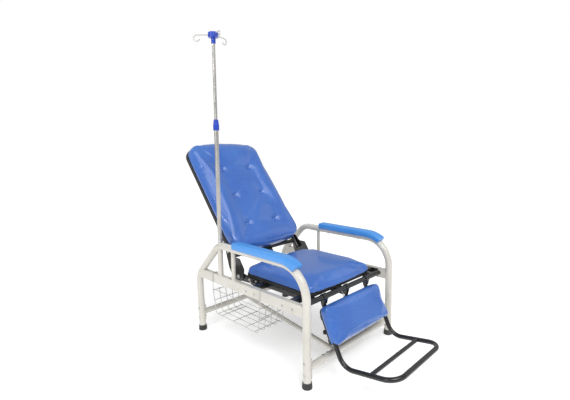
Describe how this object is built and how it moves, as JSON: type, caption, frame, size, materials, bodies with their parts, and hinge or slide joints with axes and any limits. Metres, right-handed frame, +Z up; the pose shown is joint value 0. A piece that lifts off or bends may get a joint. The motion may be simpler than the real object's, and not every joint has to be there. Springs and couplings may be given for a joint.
{
  "type": "patient recliner chair",
  "caption": "Patient recliner chair on a bent tube frame, with linked back and leg rest, pull-out foot rail, armrests, side basket and a height-adjustable drip pole.",
  "frame": {"origin": "bottom centre of the whole chair's box, on the floor", "axes": "+Z up, the chair faces -Y, and the drip pole and basket are on its -X side"},
  "size_m": [0.774, 1.491, 1.629],
  "materials": {
    "frame_paint": "warm off-white gloss powder coat",
    "black_steel": "gloss black paint",
    "pole_steel": "polished stainless steel",
    "bolt_steel": "zinc plated",
    "blue_vinyl": "glossy royal-blue upholstery vinyl",
    "arm_vinyl": "glossy azure skinned foam",
    "blue_plastic": "moulded blue plastic",
    "black_plastic": "matt black moulding",
    "foot_rubber": "black rubber",
    "board_cover": "plywood wrapped in black backing vinyl",
    "wire_paint": "white plastic-coated wire"
  },
  "bodies": {
    "base_frame": {"side_frame_near": "frame_paint", "side_frame_far": "frame_paint", "foot_caps": "foot_rubber", "side_rail_near": "frame_paint", "arm_strut_near": "frame_paint", "side_rail_far": "frame_paint", "arm_strut_far": "frame_paint", "pole_socket": "frame_paint", "middle_brace": "frame_paint", "front_stretcher": "frame_paint", "rear_stretcher": "frame_paint", "stretcher_bolts": "bolt_steel", "tie_bolts": "bolt_steel", "armrest_pad_near": "arm_vinyl", "armrest_pad_far": "arm_vinyl", "armrest_screws": "bolt_steel", "rail_bolts": "bolt_steel", "back_hinge_bracket_near": "black_steel", "back_hinge_bracket_far": "black_steel", "bracket_bolts": "bolt_steel", "leg_hinge_tube": "black_steel", "seat_board": "board_cover", "seat_screws": "bolt_steel", "seat_cushion": "blue_vinyl", "gas_spring_cylinder": "black_steel", "seat_frame": "black_steel", "gas_spring_pin": "bolt_steel", "lever_pivot_bolt": "bolt_steel", "back_pivot_bolts": "bolt_steel", "basket_hoops": "wire_paint", "basket_cross_wires": "wire_paint", "pole_lower_tube": "pole_steel", "pole_collet": "black_plastic"},
    "back_rest": {"crank_pin": "bolt_steel", "back_hinge_plate_near": "black_steel", "back_hinge_plate_far": "black_steel", "back_frame": "black_steel", "back_plate_bolts": "bolt_steel", "back_buttons": "blue_vinyl", "back_cushion": "blue_vinyl", "back_board": "board_cover", "back_screws": "bolt_steel"},
    "recline_link": {"leg_link_rod": "black_steel", "gas_spring_rod": "bolt_steel"},
    "leg_rest": {"leg_link_pin": "bolt_steel", "leg_frame": "black_steel", "foot_rail_clamp_screws": "black_plastic", "leg_board": "board_cover", "leg_pad": "blue_vinyl", "leg_screws": "bolt_steel"},
    "foot_rail": {"foot_rail": "black_steel"},
    "pole_upper": {"pole_upper_tube": "pole_steel", "pole_slider_bush": "black_plastic"},
    "pole_collar": {"pole_lock_collar": "blue_plastic"},
    "hook_head": {"hook_hub": "blue_plastic", "iv_hooks": "pole_steel"},
    "lever": {"release_lever": "black_steel", "lever_grip": "black_plastic"}
  },
  "joints": [
    {"name": "back_recline", "type": "hinge", "parent": "base_frame", "child": "back_rest", "pos_m": [0.02101, 0.19652, 0.355], "axis": [-1, 0, 0], "range_deg": [-11, 41]},
    {"name": "link_swing", "type": "hinge", "parent": "back_rest", "child": "recline_link", "pos_m": [0.02101, 0.20347, 0.31561], "axis": [-1, 0, 0], "range_deg": [-41, 11]},
    {"name": "leg_raise", "type": "hinge", "parent": "base_frame", "child": "leg_rest", "pos_m": [0.02101, -0.33148, 0.355], "axis": [-1, 0, 0], "range_deg": [-11, 41]},
    {"name": "foot_rail_slide", "type": "slide", "parent": "leg_rest", "child": "foot_rail", "axis": [0, -0.4226, -0.9063], "range_m": [-0.03, 0.035]},
    {"name": "pole_height", "type": "slide", "parent": "base_frame", "child": "pole_upper", "axis": [0, 0, 1], "range_m": [-0.36, 0.25]},
    {"name": "collar_twist", "type": "hinge", "parent": "base_frame", "child": "pole_collar", "pos_m": [-0.31599, 0.25352, 1.16], "axis": [0, 0, 1], "range_deg": [0, 90]},
    {"name": "hook_swivel", "type": "hinge", "parent": "pole_upper", "child": "hook_head", "pos_m": [-0.31599, 0.25352, 1.6], "axis": [0, 0, 1], "continuous": true},
    {"name": "release_pull", "type": "hinge", "parent": "base_frame", "child": "lever", "pos_m": [-0.24249, 0.08852, 0.346], "axis": [-1, 0, 0], "range_deg": [0, 22], "stiffness_Nm_per_rad": 0.6}
  ],
  "couplings": [
    {"joint": "leg_raise", "follows": "back_recline", "ratio": 1},
    {"joint": "link_swing", "follows": "back_recline", "ratio": -1}
  ]
}
